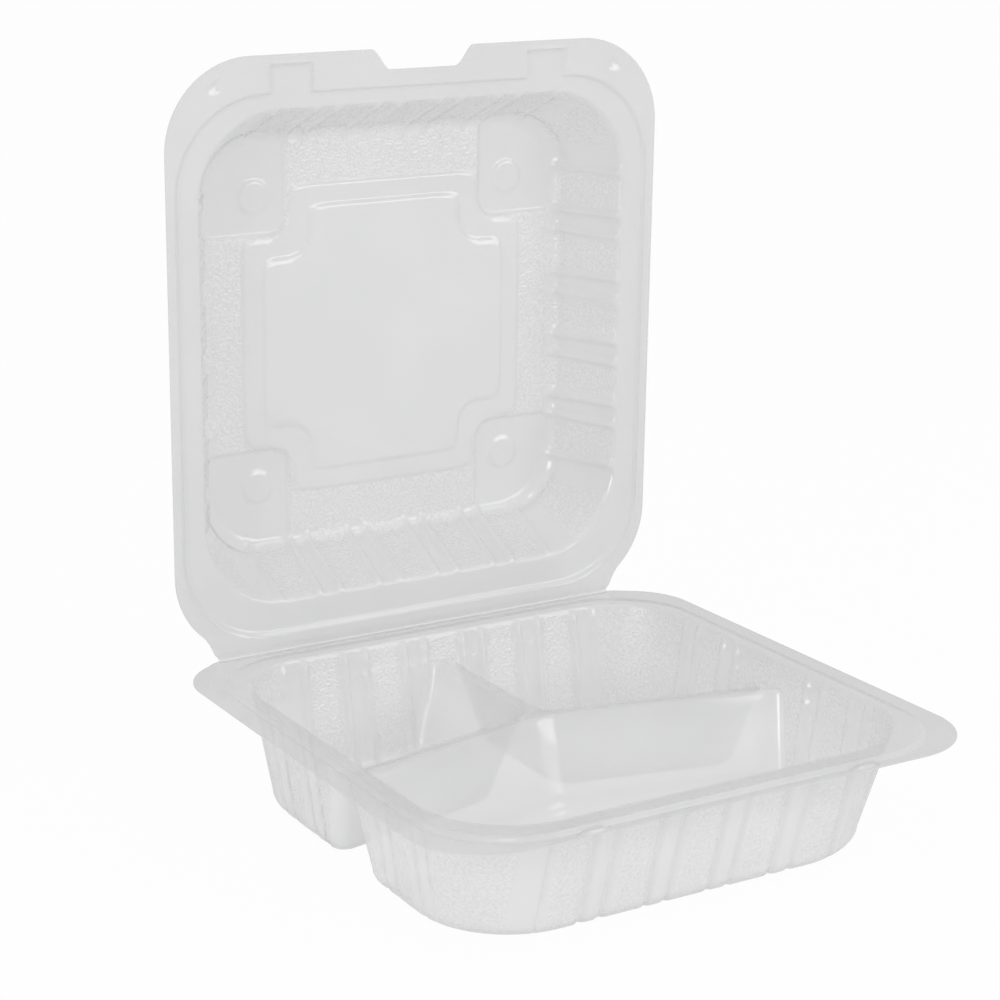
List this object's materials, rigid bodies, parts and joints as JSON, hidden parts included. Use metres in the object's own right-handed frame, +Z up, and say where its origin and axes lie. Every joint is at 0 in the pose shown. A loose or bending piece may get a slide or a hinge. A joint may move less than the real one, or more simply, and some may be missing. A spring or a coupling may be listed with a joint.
{
  "type": "hinged takeout container",
  "caption": "Hinged clear plastic food container: fluted tray with divided compartments, domed lid on a fold-line hinge, snap latches and a finger notch.",
  "frame": {"origin": "on the table, in the middle of the footprint of the tray and the open lid", "axes": "+X across the width, +Y towards the hinge side, +Z up from the table"},
  "size_m": [0.234, 0.2683, 0.2964],
  "materials": {
    "clear_sheet": "frosted translucent sheet, satin gloss, pebbled walls"
  },
  "bodies": {
    "tray": {"base_tray": "clear_sheet"},
    "lid": {"lid": "clear_sheet"}
  },
  "joints": [
    {"name": "lid_hinge", "type": "hinge", "parent": "tray", "child": "lid", "pos_m": [0, 0.09916, 0.05], "axis": [-1, 0, 0], "range_deg": [-88, 92]}
  ]
}
